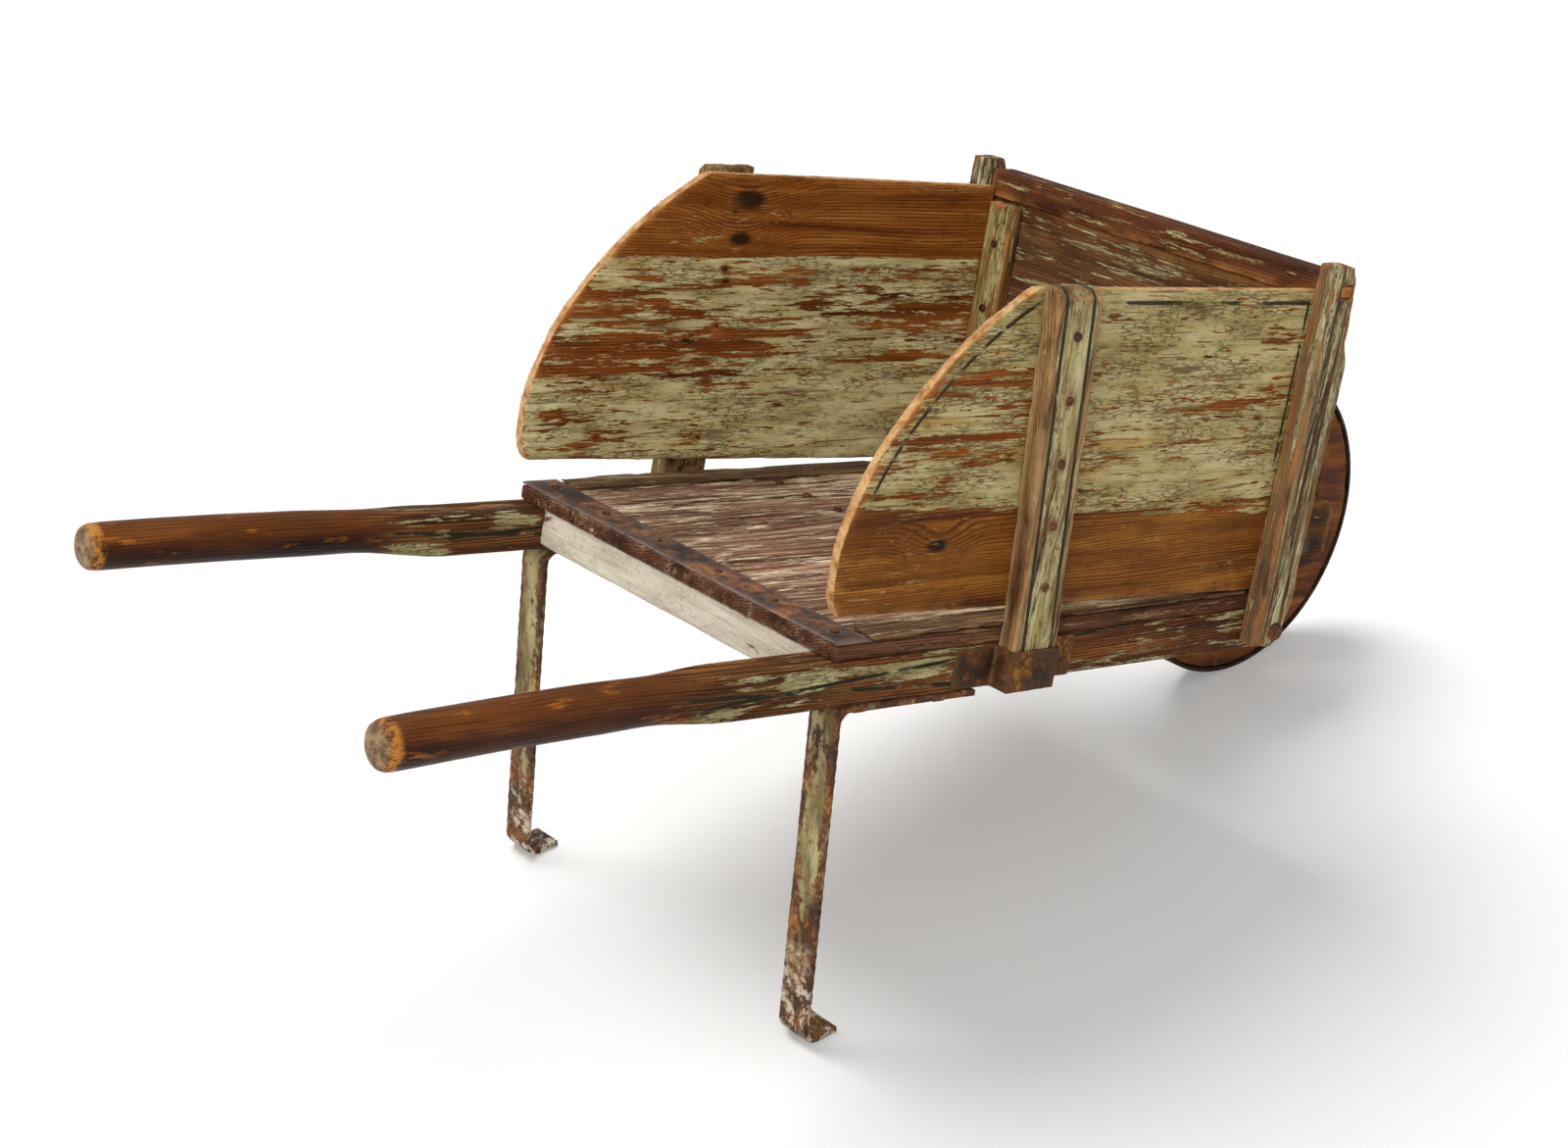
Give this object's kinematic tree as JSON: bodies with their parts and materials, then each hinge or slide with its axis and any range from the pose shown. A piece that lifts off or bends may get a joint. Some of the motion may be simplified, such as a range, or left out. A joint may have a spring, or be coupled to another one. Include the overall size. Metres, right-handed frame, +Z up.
{
  "type": "wooden wheelbarrow",
  "caption": "Antique wooden wheelbarrow with a sloping board bed, removable side boards, headboard, iron legs and a wooden spoked wheel.",
  "frame": {"origin": "on the ground, below the centre of the overall bounding box", "axes": "+X forward toward the wheel, +Y to the left of a person holding the handles, +Z up"},
  "size_m": [1.6895, 0.6208, 0.7873],
  "materials": {
    "green_painted_wood": "crackled and peeling sage green paint over pine",
    "weathered_brown_wood": "worn brown timber with paint remnants",
    "floor_wood": "weathered boards",
    "cream_painted_wood": "chipped off-white paint",
    "wheel_wood": "oiled dark timber",
    "painted_leg_iron": "cream and green paint over rusty iron",
    "rusted_iron": "rusted wrought iron",
    "nail_iron": "rusty nail heads",
    "bare_axle_iron": "worn dark iron"
  },
  "bodies": {
    "frame": {"left_post": "green_painted_wood", "right_post": "green_painted_wood", "headboard_lower_board": "green_painted_wood", "headboard_upper_board": "green_painted_wood", "left_inner_cleat": "green_painted_wood", "right_inner_cleat": "green_painted_wood", "left_rail": "weathered_brown_wood", "right_rail": "weathered_brown_wood", "middle_cross_rail": "weathered_brown_wood", "front_sill": "weathered_brown_wood", "left_wheel_arm": "weathered_brown_wood", "right_wheel_arm": "weathered_brown_wood", "headboard_top_rail": "weathered_brown_wood", "floor_board_1": "floor_wood", "floor_board_2": "floor_wood", "floor_board_3": "floor_wood", "floor_board_4": "floor_wood", "left_edge_strip": "floor_wood", "right_edge_strip": "floor_wood", "rear_cross_rail": "cream_painted_wood", "left_leg": "painted_leg_iron", "right_leg": "painted_leg_iron", "rear_floor_strap": "rusted_iron", "left_socket_strap": "rusted_iron", "right_socket_strap": "rusted_iron", "post_bolts": "rusted_iron", "post_nuts": "rusted_iron", "leg_screws": "rusted_iron", "floor_nails": "nail_iron", "socket_nails": "nail_iron", "inner_cleat_nails": "nail_iron", "axle_bushes": "bare_axle_iron"},
    "left_side": {"left_side_board": "green_painted_wood", "left_side_cleat": "green_painted_wood", "left_side_nails": "nail_iron"},
    "right_side": {"right_side_board": "green_painted_wood", "right_side_cleat": "green_painted_wood", "right_side_nails": "nail_iron"},
    "wheel": {"tyre": "rusted_iron", "felloes": "wheel_wood", "spokes": "wheel_wood", "hub": "wheel_wood", "hub_bands": "rusted_iron", "axle": "bare_axle_iron", "axle_washers": "bare_axle_iron", "linch_pins": "bare_axle_iron"}
  },
  "joints": [
    {"name": "wheel_spin", "type": "hinge", "parent": "frame", "child": "wheel", "pos_m": [0.63579, 0, 0.209], "axis": [0, 1, 0], "continuous": true},
    {"name": "left_side_lift", "type": "slide", "parent": "frame", "child": "left_side", "axis": [0.2588, 0, 0.9659], "range_m": [0, 0.45]},
    {"name": "right_side_lift", "type": "slide", "parent": "frame", "child": "right_side", "axis": [0.2588, 0, 0.9659], "range_m": [0, 0.45]}
  ]
}
